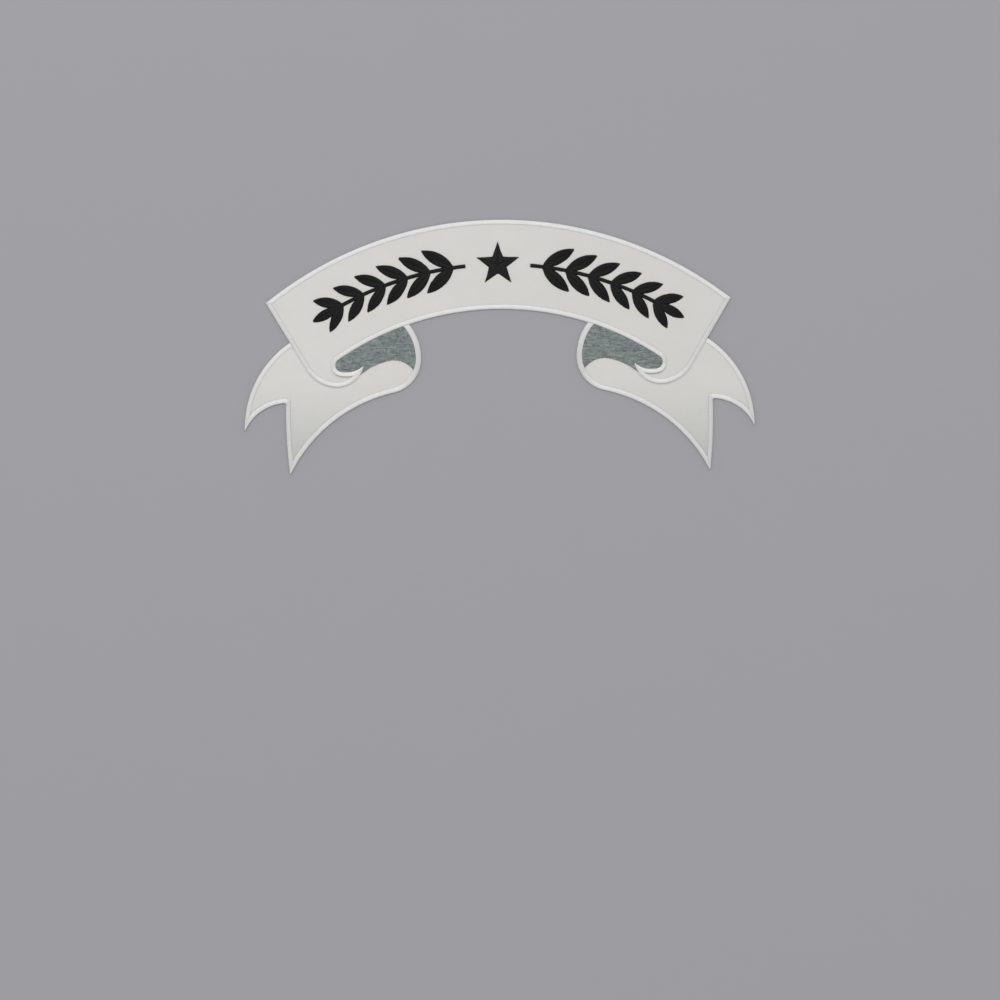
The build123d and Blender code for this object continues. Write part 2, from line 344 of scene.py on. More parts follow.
class Threads:
    """Stitches gathered for one piece: points of their tubes, lengths along them and tones."""

    def __init__(self, sizes, seed):
        self.sizes = sizes
        self.dice = np.random.default_rng(seed)
        self.parts = []

    def lay(self, starts, ends, levels, width=1.0, rings=5):
        """Adds stitches. Each is a tube from start to end whose section is an ellipse, thinner at the needle
        holes. Its height follows a flattened arch, low + (top - low) |sin(a)|^p, a from 0 to pi, low the
        level of the start or the end, whichever is nearer, and its place along the chord is (1 - cos(a)
        |cos(a)|^(p - 1)) / 2. Chance moves its ends sideways and its top up or down, and changes its tone."""
        sizes, count = self.sizes, len(starts)
        start_level, top, end_level = (np.broadcast_to(level, count)[:, None] for level in levels)
        loose = self.dice.normal(size=(4, count, 1))
        chord = (ends - starts)[:, None]
        along = unit(chord)
        side = 1j * along
        turn = np.linspace(0, np.pi, rings)
        share = (1 - np.sign(np.cos(turn)) * np.abs(np.cos(turn)) ** sizes.arch_power) / 2
        rise = np.abs(np.sin(turn)) ** sizes.arch_power
        low = np.where(turn < np.pi / 2, start_level, end_level)
        level = low + (top + sizes.looseness * 0.5 * loose[0] - low) * rise
        slip = sizes.looseness * (loose[1] * (1 - share) + loose[2] * share)
        line = starts[:, None] + chord * share + side * slip
        run = np.gradient(np.abs(chord) * share, axis=1)
        climb = np.gradient(level, axis=1)
        slant = np.hypot(run, climb)
        around = 2 * np.pi * np.arange(sizes.sides) / sizes.sides + np.pi / 2
        waist = sizes.end_waist + (1 - sizes.end_waist) * rise
        across = width * sizes.thread_width / 2 * waist[:, None] * np.cos(around)
        upward = sizes.thread_thickness / 2 * waist[:, None] * np.sin(around)
        plane = line[:, :, None] + side[:, :, None] * across - (along * climb / slant)[:, :, None] * upward
        height = level[:, :, None] + (run / slant)[:, :, None] * upward
        points = np.stack([plane.real, plane.imag, height], -1)
        drawn = np.broadcast_to(np.abs(chord) * share, (count, rings))
        # painted sheen and shade: the stitch's tone by heading, lit side and length, with a random stray
        tone = painted_sheen_of(ends - starts) + TONE_STRAY * loose[3, :, 0]
        self.parts.append((points, drawn, np.clip(tone, 0, 1)))

    def mesh_parts(self):
        """Points, faces, places along and around the thread at each face's corners, and each point's tone."""
        points, faces, corners, tones, first = [], [], [], [], 0
        for tubes, drawn, tone in self.parts:
            count, rings, sides = tubes.shape[:3]
            index = first + np.arange(count * rings * sides).reshape(count, rings, sides)
            beside = np.roll(index, -1, axis=2)
            quads = np.stack([index[:, :-1], beside[:, :-1], beside[:, 1:], index[:, 1:]], -1)
            u = np.broadcast_to(drawn[:, :, None], (count, rings, sides))
            v = np.broadcast_to(np.arange(sides) / sides, (count, rings, sides))
            wide = v + 1 / sides
            place = np.stack([np.stack([u[:, :-1], u[:, :-1], u[:, 1:], u[:, 1:]], -1),
                              np.stack([v[:, :-1], wide[:, :-1], wide[:, 1:], v[:, 1:]], -1)], -1)
            caps = np.concatenate([index[:, 0, ::-1], index[:, -1]])
            points.append(tubes.reshape(-1, 3))
            faces += [quads.reshape(-1, 4), caps]
            corners += [place.reshape(-1, 2), np.zeros((caps.size, 2))]
            tones.append(np.repeat(tone, rings * sides))
            first += count * rings * sides
        return np.concatenate(points), faces, np.concatenate(corners), np.concatenate(tones)

    def piece(self, node, kind, slot):
        """Makes the piece that stands for a node: its threads joined in one mesh."""
        points, faces, corners, tones = self.mesh_parts()
        mesh = new_mesh(f"{node}_{kind}", points, faces)
        mesh.uv_layers.new(name="thread").uv.foreach_set("vector", corners.astype(np.float32).ravel())
        # the tone attribute carries each stitch's painted sheen and shade into the thread's colour
        mesh.attributes.new("tone", "FLOAT", "POINT").data.foreach_set("value", tones.astype(np.float32))
        mesh.materials.append(finish_named(slot))
        return place_piece(mesh, node)


def new_mesh(name, points, faces):
    """Mesh of points and of arrays of faces, each array with one number of corners."""
    mesh = bpy.data.meshes.new(name)
    mesh.from_pydata(points.tolist(), [], [face for some in faces for face in some.tolist()])
    mesh.polygons.foreach_set("use_smooth", np.ones(len(mesh.polygons), bool))
    return mesh


def in_scene(name, data):
    """Object that shows a mesh, a camera or a light in the scene."""
    made = bpy.data.objects.new(name, data)
    bpy.context.scene.collection.objects.link(made)
    return made


def place_piece(mesh, node):
    """Makes the mesh a piece that rides on the one body and stands for a node."""
    piece = in_scene(mesh.name, mesh)
    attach(piece, "root")
    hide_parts(node)
    return piece


def rim_of(runs, widths):
    """Points of some runs, the direction into the area at each, and the border's width there."""
    spread = [np.broadcast_to(width, run.size) for run, width in zip(runs, widths)]
    return joined(runs), joined([inward_of(run) for run in runs]), joined(spread)


def tail_widths(runs):
    """Width of the tail's border along each run: broad round the loop, narrowing along its lower half, and at
    the notch the width over the cosine of the angle to the nearer side, which squares its inner corner."""
    _, lower, _, _, corner_round, *_ = runs
    narrowing = LOOP_BORDER_WIDTH + (BORDER_WIDTH - LOOP_BORDER_WIDTH) * np.linspace(0, 1, lower.size) ** 2
    turning = inward_of(corner_round)
    near = np.maximum((turning * turning[0].conj()).real, (turning * turning[-1].conj()).real)
    around_notch = [BORDER_WIDTH, BORDER_WIDTH, BORDER_WIDTH / near, BORDER_WIDTH]
    return [LOOP_BORDER_WIDTH, narrowing, *around_notch, BORDER_WIDTH, BORDER_WIDTH]


def border_stitches(runs, widths, sizes):
    """Outer and inner ends of a border's stitches, straight across it, and True where two borders meet at a
    ridge. A stitch is as long as the border is wide, or as deep as a corner leaves room for."""
    rim, inward, width = rim_of(runs, widths)
    points, inward, width = spaced(rim, inward, width, sizes.pitch)
    room = reach(points, inward, joined(runs)[::COARSE_STEP])
    return points, points + inward * np.minimum(width, room), room < width


def lay_border(threads, starts, ends, meets, rimmed):
    """Lays a border's stitches. One that starts on the rim comes up over the cut edge, and one that was cut
    short comes up through the cloth. Each arches and dips at its inner end, less so at a ridge."""
    sizes = threads.sizes
    long = np.abs(ends - starts) > sizes.shortest
    starts, ends, meets, rimmed = starts[long], ends[long], meets[long], rimmed[long]
    fullness = NARROW_CROWN + (1 - NARROW_CROWN) * np.minimum(np.abs(ends - starts) / BORDER_WIDTH, 1)
    top = sizes.cloth_level + sizes.border_crown * fullness
    start_level = np.where(rimmed, sizes.edge_level, sizes.cloth_level)
    end_level = np.where(meets, top - sizes.ridge_dip, sizes.cloth_level)
    over_edge = unit(ends - starts) * np.where(rimmed, sizes.overhang, 0)
    threads.lay(starts - over_edge, ends, (start_level, top, end_level), rings=7)


def clear_of(starts, ends, outline):
    """The part of each stitch outside an outline, as new ends, and its first step outside, or -1 if there is
    none. A stitch is tested in even steps, and its part runs from the first one outside to the last."""
    share = np.linspace(0, 1, TEST_STEPS)
    outside = ~within(starts[:, None] + (ends - starts)[:, None] * share, outline)
    first = outside.argmax(1)
    last = share.size - 1 - outside[:, ::-1].argmax(1)
    part = starts + (ends - starts) * share[first], starts + (ends - starts) * share[last]
    return *part, np.where(outside.any(1) & (last > first), first, -1)


def top_triangles(node):
    """Corners of the triangles of a node's flat top, as points of the plane, three to a row."""
    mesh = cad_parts[node].data
    places = np.empty(len(mesh.vertices) * 3)
    mesh.vertices.foreach_get("co", places)
    places = places.reshape(-1, 3)
    mesh.calc_loop_triangles()
    corners = np.empty(len(mesh.loop_triangles) * 3, np.int32)
    mesh.loop_triangles.foreach_get("vertices", corners)
    triangles = places[corners].reshape(-1, 3, 3)
    triangles = triangles[(triangles[:, :, 2] > places[:, 2].max() - SAME_LEVEL).all(1)]
    return triangles[:, :, 0] + 1j * triangles[:, :, 1]


def covered(points, node):
    """True for points under a node's top: they lie on the left of all three sides of one of its triangles."""
    corners = top_triangles(node)
    sides = np.roll(corners, -1, axis=1) - corners
    low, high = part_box(node)
    under = (points.real > low.x) & (points.real < high.x) & (points.imag > low.y) & (points.imag < high.y)
    under[under] = ((sides.conj() * (points[under][:, None, None] - corners)).imag >= 0).all(2).any(1)
    return under


def row_spans(node, pitch, upright):
    """Where even rows cross a node's flat top: row number, level across and both ends of each span. A row
    crosses a triangle from the least to the greatest crossing of its sides, and spans that touch are one."""
    corners = top_triangles(node)
    along, across = (corners.imag, corners.real) if upright else (corners.real, corners.imag)
    rows = np.arange(across.min() + pitch / 2, across.max(), pitch)
    gap = rows[:, None, None] - across
    ahead = np.roll(gap, -1, axis=2)
    crossed = (gap > 0) != (ahead > 0)
    share = gap / np.where(gap == ahead, 1, gap - ahead)
    cut = along + (np.roll(along, -1, axis=1) - along) * share
    low = np.where(crossed, cut, np.inf).min(2)
    high = np.where(crossed, cut, -np.inf).max(2)
    row, which = np.nonzero(crossed.any(2))
    low, high = low[row, which], high[row, which]
    order = np.lexsort((low, row))
    row, low, high = row[order], low[order], high[order]
    reached = np.maximum.accumulate(high + row) - row
    fresh = np.concatenate([[True], (row[1:] != row[:-1]) | (low[1:] > reached[:-1] + SAME_LEVEL)])
    start = np.nonzero(fresh)[0]
    stop = np.concatenate([start[1:], [row.size]]) - 1
    return row[start], rows[row[start]], low[start], reached[stop]


def lay_rows(threads, node, pitch, stitch, stagger, levels, width, upright=False):
    """Fills a node's top with rows of stitches. Row r's needle holes lie at whole stitch lengths plus r times
    the stagger, each moved by chance, and a span is cut at the holes that it passes. At a span's ends the
    thread goes down into the cloth."""
    row, level, low, high = row_spans(node, pitch, upright)
    most = int((high - low).max() / stitch) + 2
    shift = stitch * ((row * stagger) % 1)
    first = np.floor((low - shift) / stitch) * stitch + shift
    holes = first[:, None] + stitch * np.arange(most + 1)
    holes[:, 1:] += HOLE_STRAY * stitch * threads.dice.uniform(-1, 1, holes[:, 1:].shape)
    starts = np.maximum(holes[:, :-1], low[:, None])
    ends = np.minimum(holes[:, 1:], high[:, None])
    kept = ends - starts > threads.sizes.shortest
    across = np.broadcast_to(level[:, None], kept.shape)[kept]
    low_start, top, low_end = levels
    start_level = np.where(starts > low[:, None], low_start, threads.sizes.cloth_level)[kept]
    end_level = np.where(ends < high[:, None], low_end, threads.sizes.cloth_level)[kept]
    starts, ends, levels = starts[kept], ends[kept], (start_level, top, end_level)
    if upright:
        threads.lay(across + 1j * starts, across + 1j * ends, levels, width, rings=4)
    else:
        threads.lay(starts + 1j * across, ends + 1j * across, levels, width)


def lay_leaf(threads, place, heading, length, width):
    """Two halves of satin that meet at the vein. The margin is an arc of half-width h(x) over a chord along
    +x, and a stitch runs at the slant from the vein, but never from behind the leaf's foot, out to (x, h)."""
    sizes = threads.sizes
    radius = (length ** 2 / 4 + width ** 2 / 4) / width
    step = sizes.pitch / np.sin(sizes.leaf_slant)
    x = np.arange(0.5, int(length / step)) * step
    half = np.sqrt(radius ** 2 - (x - length / 2) ** 2) - radius + width / 2
    x, half = x[half > sizes.shortest / 2], half[half > sizes.shortest / 2]
    vein = np.maximum(x - half / np.tan(sizes.leaf_slant), 0)
    crown = sizes.motif_crown * (LEAF_CROWN + (1 - LEAF_CROWN) * half / half.max())
    for side in (1, -1):
        starts = place + heading * (vein + 1j * side * sizes.vein_gap)
        ends = place + heading * (x + 1j * side * (half + sizes.overhang / 2))
        threads.lay(starts, ends, motif_levels(sizes, crown), sizes.motif_width)


def motif_levels(sizes, crown):
    """Levels of the stitches of a leaf or the star: at the vein, at the top of the crown and in the cloth."""
    return sizes.cloth_level + VEIN_LEVEL * crown, sizes.cloth_level + crown, sizes.cloth_level


def stem_stitches(sizes):
    """Inner and outer ends of the stem's stitches, fanned out along the middle of the banner."""
    angles = np.arange(SPRAY_START, SPRAY_START + STEM_LENGTH, sizes.pitch) / MIDDLE_RADIUS
    half = STEM_WIDTH / 2 + sizes.overhang / 2
    return on_arch(MIDDLE_RADIUS - half, angles), on_arch(MIDDLE_RADIUS + half, angles)


def leaf_places():
    """Foot, heading and scale of each leaf of the right spray, in pairs from the star outwards."""
    for pair in range(LEAF_PAIRS):
        angle = (SPRAY_START + STEM_LENGTH * (pair + 0.5) / LEAF_PAIRS) / MIDDLE_RADIUS
        for side in (1, -1):
            heading = np.exp(1j * (side * LEAF_ANGLE - angle))
            yield on_arch(MIDDLE_RADIUS, angle), heading, 1 - LEAF_TAPER * pair / LEAF_PAIRS
    angle = (SPRAY_START + STEM_LENGTH - END_LEAF_LAP) / MIDDLE_RADIUS
    yield on_arch(MIDDLE_RADIUS, angle), np.exp(-1j * angle), 1 - LEAF_TAPER


# Cloth

def distinct(outline):
    """The outline without points that lie on the one before."""
    return outline[np.abs(outline - np.roll(outline, 1)) > OUTLINE_STEP / 2]


def seam_lines(banner, tail, tails):
    """Lines along which the cloth is held: points, directions off the border, and 1 where the line may pull
    as below a curl, else 0. They are the needle lines of the banner's border and of the right tail's where it
    shows, and the banner's rim where it laps one of the tails."""
    rim, inward, width = rim_of(banner, [BORDER_WIDTH] * len(banner))
    hooked = rim_of(banner, [run in HOOK_RUNS for run in range(len(banner))])[2]
    lapped = within(rim, tails[0]) | within(rim, tails[1])
    tail_rim, tail_inward, tail_width = rim_of(tail, tail_widths(tail))
    shown = ~within(tail_rim, joined(banner)[::COARSE_STEP])
    return [
        (rim + inward * width, inward, hooked),
        ((tail_rim + tail_inward * tail_width)[shown], tail_inward[shown], np.zeros(shown.sum())),
        (rim[lapped], -inward[lapped], np.ones(lapped.sum())),
    ]


def lattice(low, high, step):
    """Corners of even triangles over a box, in rows root 3/4 of a step apart, staggered by half a step."""
    x = np.arange(low.x, high.x, step)
    y = np.arange(low.y, high.y, step * np.sqrt(0.75))
    return (x + step / 2 * (np.arange(y.size) % 2)[:, None] + 1j * y[:, None]).ravel()


def cloth_mesh(name, outlines, loose_points, relief, thickness):
    """A closed sheet: triangles between the outlines and loose points, once at thickness plus relief and once
    turned over at level 0, with a wall of quads along the sides that only one triangle has."""
    points = [(p.real, p.imag) for p in np.concatenate([*outlines, loose_points])]
    first, rings = 0, []
    for outline in outlines:
        rings.append(list(range(first, first + outline.size)))
        first += outline.size
    cut = delaunay_2d_cdt(points, [], rings, INSIDE_ONLY, SAME_PLACE)
    plane = np.array([tuple(p) for p in cut[0]])
    top = np.array(cut[2])
    count = len(plane)
    sides = np.concatenate([top[:, [0, 1]], top[:, [1, 2]], top[:, [2, 0]]])
    keys = sides[:, 0] * count + sides[:, 1]
    rim = sides[~np.isin(keys, sides[:, 1] * count + sides[:, 0])]
    wall = np.stack([rim[:, 0], rim[:, 0] + count, rim[:, 1] + count, rim[:, 1]], -1)
    level, seam = relief(plane[:, 0] + 1j * plane[:, 1])
    points = [np.column_stack([plane, height]) for height in (thickness + level, 0 * level)]
    mesh = new_mesh(name, np.concatenate(points), [top, top[:, ::-1] + count, wall])
    # the seam value also paints shade into the twill's colour, through its finish
    seam = np.concatenate([seam, 0 * seam]).astype(np.float32)
    mesh.attributes.new("seam", "FLOAT", "POINT").data.foreach_set("value", seam)
    counts = [len(top), len(top), len(wall)]
    mesh.polygons.foreach_set("material_index", np.repeat([0, 1, 0], counts).astype(np.int32))
    mesh.polygons.foreach_set("use_smooth", np.repeat([True, True, False], counts))
    mesh.set_sharp_from_angle(angle=SHARP_EDGE)
    return mesh


def cloth_relief(sizes, stitched, off_border, folded):
    """A function for the cloth's height over its thickness and for a seam's pull, which falls to 0 away from
    it. The height is a puff and broad waves, a sum of sines of random heading, that swell away from the
    seams, less a narrow dip beside them, plus tucks that run square to the seams and die away. The cloth is
    flat under the borders, which lie against the seams' direction off the border, and under the fills, the
    sprays and the star. The pull grows where the cloth lies below a curl or a hook. Besides the dip, the pull
    sets the painted shade in the cloth's colour there and along the needle lines."""
    dice = np.random.default_rng(sizes.seed)
    heading = np.exp(2j * np.pi * dice.random(sizes.wave_count))
    waves = 2 * np.pi / sizes.wave_length / dice.uniform(*WAVE_SPREAD, sizes.wave_count) * heading
    phases = 2 * np.pi * dice.random(sizes.wave_count)
    pull = 1 + sizes.lapped_pull * folded * np.maximum(-off_border.imag, 0) ** 2
    lengths = np.arange(stitched.size) * OUTLINE_STEP * COARSE_STEP

    def relief(flat):
        away, which = nearest(flat, stitched)
        swell = 1 - np.exp(-away / sizes.puff_width)
        seam = pull[which] * np.exp(-((away / sizes.dip_width) ** 2))
        tucks = lengths[which] / sizes.pucker_length
        pucker = sizes.pucker * np.sin(2 * np.pi * tucks + TUCK_WANDER * np.sin(tucks / TUCK_DRIFT))
        fading = np.exp(-away / sizes.pucker_reach) * (1 - np.exp(-away / sizes.dip_width))
        broad = np.sin((flat[:, None] * waves.conj()).real + phases).sum(1) / np.sqrt(waves.size)
        under_border = ((flat - stitched[which]) * off_border[which].conj()).real < 0
        pressed = np.any([under_border, *(covered(flat, node) for node in HELD_DOWN_BY)], axis=0)
        free = (sizes.puff + sizes.wave * broad) * swell - sizes.dip * seam + pucker * fading
        return np.where(pressed, -sizes.dip, free), seam

    return relief


# Materials

class Wire:
    """A socket's value in an expression: each operator adds the Math node that works it out."""

    def __init__(self, finish, socket):
        self.finish = finish
        self.socket = socket

    def math(self, operation, *values):
        """Adds a Math node of this value and the others, in order."""
        return self.finish.node("Math", {"operation": operation}, dict(enumerate(values)))

    def __add__(self, other):
        return self.math("ADD", self, other)

    def __mul__(self, other):
        return self.math("MULTIPLY", self, other)

    def __sub__(self, other):
        return self.math("SUBTRACT", self, other)

    def __rsub__(self, other):
        return self.math("SUBTRACT", other, self)

    __radd__ = __add__
    __rmul__ = __mul__

    def sine(self):
        """Sine of the value, in radians."""
        return self.math("SINE", self)

    def whole(self, step):
        """The value brought down to a whole number of steps."""
        return self.math("SNAP", self, step)


class Finish:
    """A material in the making. Its nodes come from node(), and its shader from shade()."""

    def __init__(self, name):
        self.material = bpy.data.materials.new(name)
        self.material.use_nodes = True
        self.tree = self.material.node_tree
        self.tree.nodes.clear()

    def node(self, kind, settings=None, sockets=None, output=0):
        """Adds a node, sets its settings, then its sockets to values or links, and gives one output."""
        made = self.tree.nodes.new("ShaderNode" + kind)
        for name, value in (settings or {}).items():
            setattr(made, name, value)
        for name, value in (sockets or {}).items():
            if isinstance(value, Wire):
                self.tree.links.new(value.socket, made.inputs[name])
            else:
                made.inputs[name].default_value = value
        return Wire(self, made.outputs[output]) if made.outputs else None

    def place(self):
        """Object coordinates as a vector, and their three parts as values."""
        vector = self.node("TexCoord", output="Object")
        return vector, *(self.node("SeparateXYZ", sockets={0: vector}, output=axis) for axis in "XYZ")

    def noise(self, vector, scale, detail=3.0, roughness=0.55):
        """Smooth noise from 0 to 1 with so many lumps to a metre."""
        sockets = {"Vector": vector, "Scale": scale, "Detail": detail, "Roughness": roughness}
        return self.node("TexNoise", sockets=sockets)

    def ramp(self, value, start, stop):
        """Smooth step from 0 where the value is start to 1 where it is stop."""
        sockets = {"Value": value, "From Min": start, "From Max": stop}
        return self.node("MapRange", {"interpolation_type": "SMOOTHSTEP"}, sockets)

    def blend(self, factor, low, high):
        """Colour between two colours. Inputs 6 and 7 and output 2 are the Mix node's sockets for colours."""
        return self.node("Mix", {"data_type": "RGBA"}, {0: factor, 6: low, 7: high}, output=2)

    def shade(self, sockets, height=None, distance=0.0):
        """Ends the material in one Principled shader, with a bump from a height if there is one."""
        if height is not None:
            bump = {"Strength": 1.0, "Distance": distance, "Height": height}
            sockets = {**sockets, "Normal": self.node("Bump", sockets=bump)}
        shader = self.node("BsdfPrincipled", sockets=sockets)
        self.node("OutputMaterial", sockets={"Surface": shader})
        return self.material


# Shades and relief of the finishes
CLOTH_PAINTED_FALLOFF = 0.28  # painted shade: how much darker the cloth is painted from the patch's left side to its right, for light falling off
THREAD_PAINTED_FALLOFF = 0.08  # the same painted shade for threads
WEFT_LEAN = 0.35  # of the weft's lines from upright, across over up
SEAM_PAINTED_SHADE = 0.04  # share of the painted shade of a needle line, and below a curl or hook, at a pull of 1
PEBBLE_RELIEF = 0.05 * MM
TWIST_RELIEF = 0.15  # depth of a thread's ribs, as a share of its thickness
STREAKS_PER_METRE = 145
ROW_SHIFT = 2900  # takes each pair of the fill's rows to another part of the noise
STREAK_SHARE = 0.7  # of the streaks in the colour of a thread that has them
BLUISH = 0.92, 0.99, 1.08  # hue of a dark streak
BROWNISH = 1.03, 1.01, 0.96  # and of a pale one

# How far a thread's shade spreads and its streaks go either way, and how it shines
THREAD_LOOKS = {
    "white_thread": {"spread": 0.2, "streaks": 0.0, "sheen": 0.25, "specular": 0.5},
    "grey_thread": {"spread": 0.12, "streaks": 0.72, "sheen": 0.1, "specular": 0.35},
    "black_thread": {"spread": 0.25, "streaks": 0.0, "sheen": 0.0, "specular": 0.2},
}


def shade_of(colour, factor, hue=(1, 1, 1)):
    """A colour times a factor, at most 1, times a hue, opaque."""
    return (*(min(channel * factor, 1) * part for channel, part in zip(colour, hue)), 1.0)


def rightward(finish, x):
    """Smooth step from -1/2 at the patch's left side to 1/2 at its right."""
    return finish.ramp(x, -PATCH_WIDTH / 2, PATCH_WIDTH / 2) - 0.5


def twill_finish(colours, sizes):
    """Fine twill: wales at 45 degrees crossed by the weft, and faint mottling. Its colour carries painted
    shade:
    darker towards +X, for light falling off across the patch, and below curls and hooks, where they shade it,
    and faintly in all needle lines, for their holes and shade. It also greys down the tails."""
    finish = Finish("twill_weave")
    vector, x, y, _ = finish.place()
    wale = ((x + y) * (2 * np.pi / sizes.twill_pitch)).sine() * 0.5 + 0.5
    weft = ((x - y * WEFT_LEAN) * (4 * np.pi / sizes.twill_pitch)).sine() * 0.5 + 0.5
    weave = wale * 0.75 + weft * 0.25
    coarse, middling, fine = (finish.noise(vector, lumps) for lumps in (18.0, 60.0, 420.0))
    mottle = coarse * 0.5 + middling * 0.3 + fine * 0.2
    # painted shade: darker towards +X, standing for light falling off across the patch, mixed into the random
    # mottle
    mottle_and_painted_falloff = mottle - rightward(finish, x) * CLOTH_PAINTED_FALLOFF
    mottled_with_painted_falloff = finish.blend(mottle_and_painted_falloff, shade_of(colours.twill, 0.88), shade_of(colours.twill, 1.12))
    woven = finish.blend(weave, shade_of(colours.twill, 0.93), mottled_with_painted_falloff)
    down_the_tail = finish.ramp(y, sizes.shade_from, sizes.shade_to)
    greyed = finish.blend(down_the_tail, woven, shade_of(colours.grey_twill, 1))
    # painted shade: the seam attribute darkens the cloth faintly along needle lines, for their holes and
    # shade, and strongly below curls and hooks, where those shade it
    seam = finish.node("Attribute", {"attribute_name": "seam"}, output="Fac")
    colour = finish.blend(seam * SEAM_PAINTED_SHADE, greyed, shade_of(colours.twill, 0.45))
    rough = 0.88 - weave * 0.1
    sockets = {"Base Color": colour, "Roughness": rough, "Specular IOR Level": 0.3, "Sheen Weight": 0.15}
    return finish.shade(sockets, weave + mottle * 0.3, sizes.weave_relief)


def backing_finish(colours):
    """Plain backing: a matt film over the weave, with a fine pebble and faint clouding."""
    finish = Finish("backing_film")
    vector, *_ = finish.place()
    cloud = finish.noise(vector, 60.0)
    pebble = finish.noise(vector, 2600.0, 1.0)
    colour = finish.blend(cloud, shade_of(colours.backing, 0.93), shade_of(colours.backing, 1.05))
    sockets = {"Base Color": colour, "Roughness": 0.55 + cloud * 0.15}
    return finish.shade(sockets, pebble + cloud * 0.5, PEBBLE_RELIEF)


def thread_finish(name, colour, sizes, spread, streaks, sheen, specular):
    """Embroidery thread: two plies whose twist shows as slanting ribs, a tone for each stitch that paints the
    sheen and shade of its heading, lit side and length with a random part, painted shade darker towards +X
    for light falling off, and soft sheen."""
    finish = Finish(name)
    vector, x, y, _ = finish.place()
    where = finish.node("UVMap", {"uv_map": "thread"})
    along, around = (finish.node("SeparateXYZ", sockets={0: where}, output=axis) for axis in "XY")
    tone = finish.node("Attribute", {"attribute_name": "tone"}, output="Fac")
    twist = ((along * (1 / sizes.twist_pitch) + around * 2) * (2 * np.pi)).sine() * 0.5 + 0.5
    # painted sheen and shade: the stitch's tone and a random noise, less painted shade towards +X for light
    # falling off
    light = tone * 0.85 + finish.noise(vector, 90.0) * 0.15 - rightward(finish, x) * THREAD_PAINTED_FALLOFF
    body = finish.blend(light, shade_of(colour, 1 - spread), shade_of(colour, 1 + spread))
    if streaks:
        body = finish.blend(STREAK_SHARE, body, heathering(finish, x, y, colour, sizes, streaks))
    ribbed = finish.blend(twist * 0.2, body, shade_of(colour, 1 - 1.5 * spread))
    sockets = {"Base Color": ribbed, "Roughness": 0.42 + tone * 0.16, "Sheen Weight": sheen,
               "Sheen Roughness": 0.4, "Specular IOR Level": specular}
    return finish.shade(sockets, twist, sizes.thread_thickness * TWIST_RELIEF)


def heathering(finish, x, y, colour, sizes, streaks):
    """Streaks of a heathered thread: noise drawn out along X and new for every second row of the fill, from a
    darker and bluer to a paler and browner shade."""
    rows = (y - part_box("fold_fill_right")[0].y).whole(2 * sizes.fill_pitch)
    drawn_out = finish.node("CombineXYZ", sockets={0: x * STREAKS_PER_METRE, 1: rows * ROW_SHIFT})
    streak = finish.ramp(finish.noise(drawn_out, 1.0, 3.0, 0.8), 0.25, 0.75)
    return finish.blend(
        streak, shade_of(colour, 1 - streaks, BLUISH), shade_of(colour, 1 + streaks, BROWNISH))


def finish_named(name):
    """The finish of a thread, made once, under a name that the solids' plain materials don't have."""
    own = f"{name}_stitches"
    if own not in bpy.data.materials:
        scene = bpy.context.scene
        thread_finish(own, getattr(scene.patch_colours, name), scene.patch_threads, **THREAD_LOOKS[name])
    return bpy.data.materials[own]


def floor_finish(colours):
    """Plain matt floor with a barely seen grain."""
    finish = Finish("floor")
    vector, *_ = finish.place()
    grain = finish.noise(vector, 30.0)
    colour = finish.blend(grain, shade_of(colours.floor, 0.995), shade_of(colours.floor, 1.005))
    return finish.shade({"Base Color": colour, "Roughness": 0.9, "Specular IOR Level": 0.2})


# Settings

def length_prop(name, description, default):
    """Setting for a length, with its default in millimetres."""
    return FloatProperty(name=name, description=description, default=default * MM, unit="LENGTH")


def number_prop(name, description, default):
    """Setting for a number without a unit, or in the one that its description names."""
    return FloatProperty(name=name, description=description, default=default)


def angle_prop(name, description, default):
    """Setting for an angle, with its default in degrees."""
    return FloatProperty(name=name, description=description, default=np.radians(default), subtype="ANGLE")


def colour_prop(name, description, default):
    """Setting for a colour, in linear red, green and blue."""
    return FloatVectorProperty(
        name=name, description=description, default=default, subtype="COLOR", min=0, max=1)


class PatchThreadSizes(PropertyGroup):
    """Sizes of the threads and of how they are laid."""

    thread_width: length_prop("Thread Width", "Across a thread that lies flat", 0.5)
    thread_thickness: length_prop("Thread Thickness", "Through a thread that lies flat", 0.3)
    pitch: length_prop("Satin Pitch", "From one satin stitch to the next", 0.4)
    twist_pitch: length_prop("Twist Pitch", "Length of one turn of a thread's plies", 0.9)
    sides: IntProperty(name="Sides", description="Sides of a thread's section", default=5, min=4, max=8)
    arch_power: number_prop("Arch Power", "How flat the top of a stitch is, from 1 for a round arch", 0.85)
    end_waist: number_prop("End Waist", "Thickness of a thread at its needle hole, as a share", 0.85)
    looseness: length_prop("Looseness", "How far a stitch strays from its place", 0.014)
    shortest: length_prop("Shortest Stitch", "Stitches shorter than this are left out", 0.12)
    overhang: length_prop("Overhang", "How far a border's stitches stand over the cut edge", 0.2)
    edge_level: length_prop("Edge Level", "Height at which a border's stitches end on the cut edge", 0.4)
    cloth_level: length_prop("Cloth Level", "Height at which stitches enter the cloth", 1.2)
    border_crown: length_prop("Border Crown", "Height of a border over the cloth", 0.6)
    motif_crown: length_prop("Motif Crown", "Height of leaves and star over the cloth", 0.75)
    motif_width: number_prop("Motif Width", "Width of the black threads, as a share", 1.3)
    ridge_dip: length_prop("Ridge Dip", "Depth of the line where two borders meet at a point", 0.3)
    vein_gap: length_prop("Vein Gap", "Half the gap between a leaf's two halves", -0.12)
    leaf_slant: angle_prop("Leaf Slant", "Angle between a leaf's stitches and its vein", 48.0)
    fill_pitch: length_prop("Fill Pitch", "From one row of the fill to the next", 0.42)
    fill_stitch: length_prop("Fill Stitch", "Length of a stitch of the fill", 3.6)
    fill_stagger: number_prop("Fill Stagger", "Shift of each row's holes, as a share of a stitch", 0.37)
    fill_level: length_prop("Fill Level", "Height of the top of the fill's rows", 1.62)


